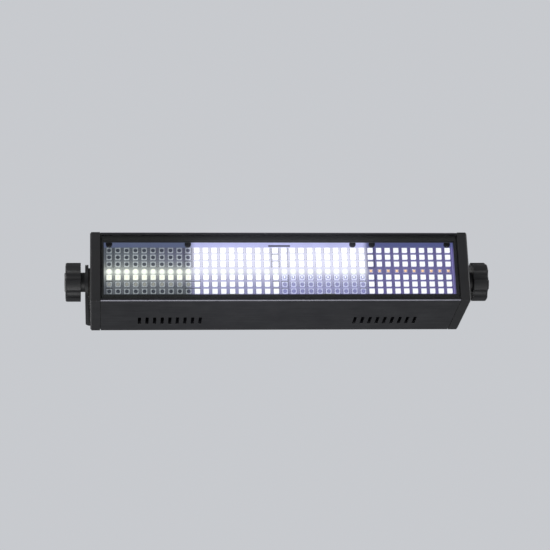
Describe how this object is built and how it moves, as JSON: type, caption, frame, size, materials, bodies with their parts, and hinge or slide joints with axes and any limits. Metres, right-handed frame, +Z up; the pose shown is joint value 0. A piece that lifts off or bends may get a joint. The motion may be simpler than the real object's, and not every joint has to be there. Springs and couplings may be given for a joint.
{
  "type": "led strip batten",
  "caption": "Black stage light batten with a grid of colour and white LEDs behind glass, rear controls and sockets, and a tilting U bracket with lock knobs.",
  "frame": {"origin": "bottom centre of the whole fixture's bounding box, with the bracket swung straight back", "axes": "+Z up, +X along the batten, light leaves towards -Y, rear panel and bracket strap face +Y"},
  "size_m": [0.3916, 0.114, 0.0669],
  "materials": {
    "black_anodised": "black anodised",
    "black_paint": "fine texture black powder coat",
    "seal_rubber": "matt",
    "black_screw": "black zinc",
    "plain_steel": "zinc plated",
    "clear_glass": "clear toughened",
    "black_plastic": "matt",
    "white_solder_mask": "white solder mask on an aluminium core",
    "led_white_body": "moulded white",
    "led_clear_fill": "clear fill over the dice",
    "phosphor_dome": "yellow phosphor under a clear dome",
    "thermal_grey": "soft",
    "raw_aluminium": "mill finish",
    "green_board": "solder mask",
    "component_black": "moulded",
    "red_black_lead": "insulated leads",
    "smoked_window": "tinted",
    "grey_button": "matt",
    "blue_plastic": "moulded",
    "light_grey_plastic": "moulded",
    "contact_brass": "plated",
    "brass_insert": "turned",
    "friction_disc": "fibre friction disc",
    "black_steel": "black powder coat"
  },
  "bodies": {
    "fixture": {"housing": "black_anodised", "end_cap_left": "black_paint", "end_cap_right": "black_paint", "cap_seals": "seal_rubber", "cap_screws": "black_screw", "pivot_inserts": "brass_insert", "cover_glass": "clear_glass", "glass_gasket": "seal_rubber", "window_mask": "black_plastic", "led_board": "white_solder_mask", "thermal_pad": "thermal_grey", "board_screws": "black_screw", "board_link": "component_black", "board_connectors": "light_grey_plastic", "rgb_packages_1": "led_white_body", "rgb_packages_2": "led_white_body", "rgb_packages_3": "led_white_body", "rgb_packages_4": "led_white_body", "white_packages": "led_white_body", "rgb_lenses": "led_clear_fill", "white_domes": "phosphor_dome", "tray": "raw_aluminium", "standoffs": "plain_steel", "psu_board": "green_board", "psu_components": "component_black", "driver_board": "green_board", "driver_components": "component_black", "harness": "red_black_lead", "rear_panel": "black_paint", "panel_screws": "black_screw", "display_bezel": "black_plastic", "display_window": "smoked_window", "display_module": "green_board", "power_in": "blue_plastic", "power_out": "light_grey_plastic", "dmx_in": "black_plastic", "dmx_out": "black_plastic", "dmx_contacts": "contact_brass", "connector_screws": "plain_steel", "fuse_holder": "black_plastic", "fan_frames": "component_black", "fan_guards": "black_steel", "fan_screws": "plain_steel", "safety_lug": "black_steel", "lug_screws": "plain_steel", "earth_stud": "plain_steel"},
    "yoke": {"bracket": "black_steel", "friction_washers": "friction_disc"},
    "lock_left": {"knob_left": "black_plastic", "knob_left_stud": "plain_steel"},
    "lock_right": {"knob_right": "black_plastic", "knob_right_stud": "plain_steel"},
    "key_menu": {"button_menu": "grey_button"},
    "key_up": {"button_up": "grey_button"},
    "key_down": {"button_down": "grey_button"},
    "key_enter": {"button_enter": "grey_button"},
    "latch": {"dmx_latch": "plain_steel"},
    "fuse_carrier": {"fuse_cap": "black_plastic"},
    "rotor_left": {"fan_rotor_left": "component_black"},
    "rotor_right": {"fan_rotor_right": "component_black"}
  },
  "joints": [
    {"name": "bracket_tilt", "type": "hinge", "parent": "fixture", "child": "yoke", "pos_m": [0, -0.017, 0.03345], "axis": [1, 0, 0], "range_deg": [-110, 110]},
    {"name": "knob_left_turn", "type": "hinge", "parent": "fixture", "child": "lock_left", "pos_m": [-0.18, -0.017, 0.03345], "axis": [-1, 0, 0], "range_deg": [0, 360]},
    {"name": "knob_right_turn", "type": "hinge", "parent": "fixture", "child": "lock_right", "pos_m": [0.18, -0.017, 0.03345], "axis": [1, 0, 0], "range_deg": [0, 360]},
    {"name": "menu_press", "type": "slide", "parent": "fixture", "child": "key_menu", "axis": [0, -1, 0], "range_m": [0, 0.0008], "stiffness_N_per_m": 400, "springref_m": -0.001},
    {"name": "up_press", "type": "slide", "parent": "fixture", "child": "key_up", "axis": [0, -1, 0], "range_m": [0, 0.0008], "stiffness_N_per_m": 400, "springref_m": -0.001},
    {"name": "down_press", "type": "slide", "parent": "fixture", "child": "key_down", "axis": [0, -1, 0], "range_m": [0, 0.0008], "stiffness_N_per_m": 400, "springref_m": -0.001},
    {"name": "enter_press", "type": "slide", "parent": "fixture", "child": "key_enter", "axis": [0, -1, 0], "range_m": [0, 0.0008], "stiffness_N_per_m": 400, "springref_m": -0.001},
    {"name": "latch_press", "type": "slide", "parent": "fixture", "child": "latch", "axis": [0, -1, 0], "range_m": [0, 0.0013], "stiffness_N_per_m": 400, "springref_m": -0.001},
    {"name": "fuse_cap_turn", "type": "hinge", "parent": "fixture", "child": "fuse_carrier", "pos_m": [0.087, 0.0225, 0.03945], "axis": [0, 1, 0], "range_deg": [0, 90]},
    {"name": "fan_left_spin", "type": "hinge", "parent": "fixture", "child": "rotor_left", "pos_m": [-0.056, 0.0145, 0.03345], "axis": [0, 1, 0], "continuous": true},
    {"name": "fan_right_spin", "type": "hinge", "parent": "fixture", "child": "rotor_right", "pos_m": [0.056, 0.0145, 0.03345], "axis": [0, 1, 0], "continuous": true}
  ]
}
